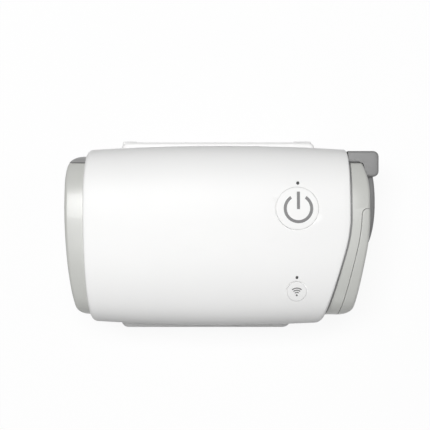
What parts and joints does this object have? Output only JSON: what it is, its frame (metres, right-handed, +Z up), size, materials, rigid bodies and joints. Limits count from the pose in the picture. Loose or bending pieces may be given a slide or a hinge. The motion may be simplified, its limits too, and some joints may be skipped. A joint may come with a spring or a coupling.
{
  "type": "cpap machine",
  "caption": "Small travel air-pressure machine: barrel sleeve on a flat base, pull-off filter cover, push buttons, blower inside, air outlet and power socket on the end.",
  "frame": {"origin": "on the table, under the middle of the machine's box", "axes": "+X towards the air outlet end, +Y to the back, +Z up"},
  "size_m": [0.1315, 0.084, 0.0518],
  "materials": {
    "sleeve_white": "smooth white moulding with a soft sheen",
    "light_grey_plastic": "light warm grey moulding, semi-gloss",
    "dark_grey_plastic": "mid grey moulding, fine satin grain",
    "inner_grey_plastic": "dark moulded plastic",
    "pale_plastic": "pale moulded plastic",
    "soft_rubber": "matt moulded rubber",
    "plated_steel": "zinc plated or ground steel",
    "motor_metal": "pressed and plated steel",
    "copper_winding": "varnished copper wire",
    "board_green": "green solder mask",
    "black_plastic": "black moulded plastic",
    "lamp_dark": "dark clear lens, unlit",
    "contact_brass": "plated brass",
    "filter_fibre": "pleated white fibre",
    "foam": "open-cell dark foam"
  },
  "bodies": {
    "housing": {"upper_shell": "sleeve_white", "lower_shell": "sleeve_white", "base_plate": "sleeve_white", "end_cover": "light_grey_plastic", "outlet_panel": "light_grey_plastic", "inlet_frame": "dark_grey_plastic", "outlet_frame": "dark_grey_plastic", "volute_base": "inner_grey_plastic", "volute_cover": "inner_grey_plastic", "inlet_plenum": "inner_grey_plastic", "outlet_nozzle": "pale_plastic", "base_foot_1": "soft_rubber", "base_foot_2": "soft_rubber", "base_foot_3": "soft_rubber", "base_foot_4": "soft_rubber", "blower_mount_1": "soft_rubber", "blower_mount_2": "soft_rubber", "blower_mount_3": "soft_rubber", "blower_mount_4": "soft_rubber", "outlet_sleeve": "soft_rubber", "outlet_seal": "soft_rubber", "housing_screw_1": "plated_steel", "housing_screw_2": "plated_steel", "housing_screw_3": "plated_steel", "housing_screw_4": "plated_steel", "board_screw_1": "plated_steel", "board_screw_2": "plated_steel", "board_screw_3": "plated_steel", "board_screw_4": "plated_steel", "lower_bearing": "plated_steel", "upper_bearing": "plated_steel", "motor_cup": "motor_metal", "motor_stator": "copper_winding", "main_board": "board_green", "start_switch": "black_plastic", "wireless_switch": "black_plastic", "controller_chip": "black_plastic", "flow_sensor": "black_plastic", "power_socket": "black_plastic", "storage_capacitor": "black_plastic", "start_lamp_lens": "lamp_dark", "wireless_lamp_lens": "lamp_dark", "start_lamp_led": "lamp_dark", "wireless_lamp_led": "lamp_dark", "power_pin_1": "contact_brass", "power_pin_2": "contact_brass", "power_pin_3": "contact_brass", "muffler_foam": "foam"},
    "start_button_body": {"start_stop_button": "sleeve_white", "start_switch_plunger": "soft_rubber"},
    "wireless_button_body": {"wireless_button": "sleeve_white", "wireless_switch_plunger": "soft_rubber"},
    "rotor": {"impeller": "pale_plastic", "motor_shaft": "plated_steel", "rotor_magnet": "motor_metal"},
    "filter_door": {"filter_cover": "light_grey_plastic", "filter_frame": "pale_plastic", "filter_media": "filter_fibre"}
  },
  "joints": [
    {"name": "start_press", "type": "slide", "parent": "housing", "child": "start_button_body", "axis": [0, 0, -1], "range_m": [0, 0.0006], "stiffness_N_per_m": 2500},
    {"name": "wireless_press", "type": "slide", "parent": "housing", "child": "wireless_button_body", "axis": [0, 0, -1], "range_m": [0, 0.0006], "stiffness_N_per_m": 2500},
    {"name": "rotor_spin", "type": "hinge", "parent": "housing", "child": "rotor", "pos_m": [-0.006, 0, 0.0272], "axis": [0, 0, 1], "continuous": true},
    {"name": "filter_cover_pull", "type": "slide", "parent": "housing", "child": "filter_door", "axis": [-1, 0, 0], "range_m": [0, 0.02]}
  ]
}
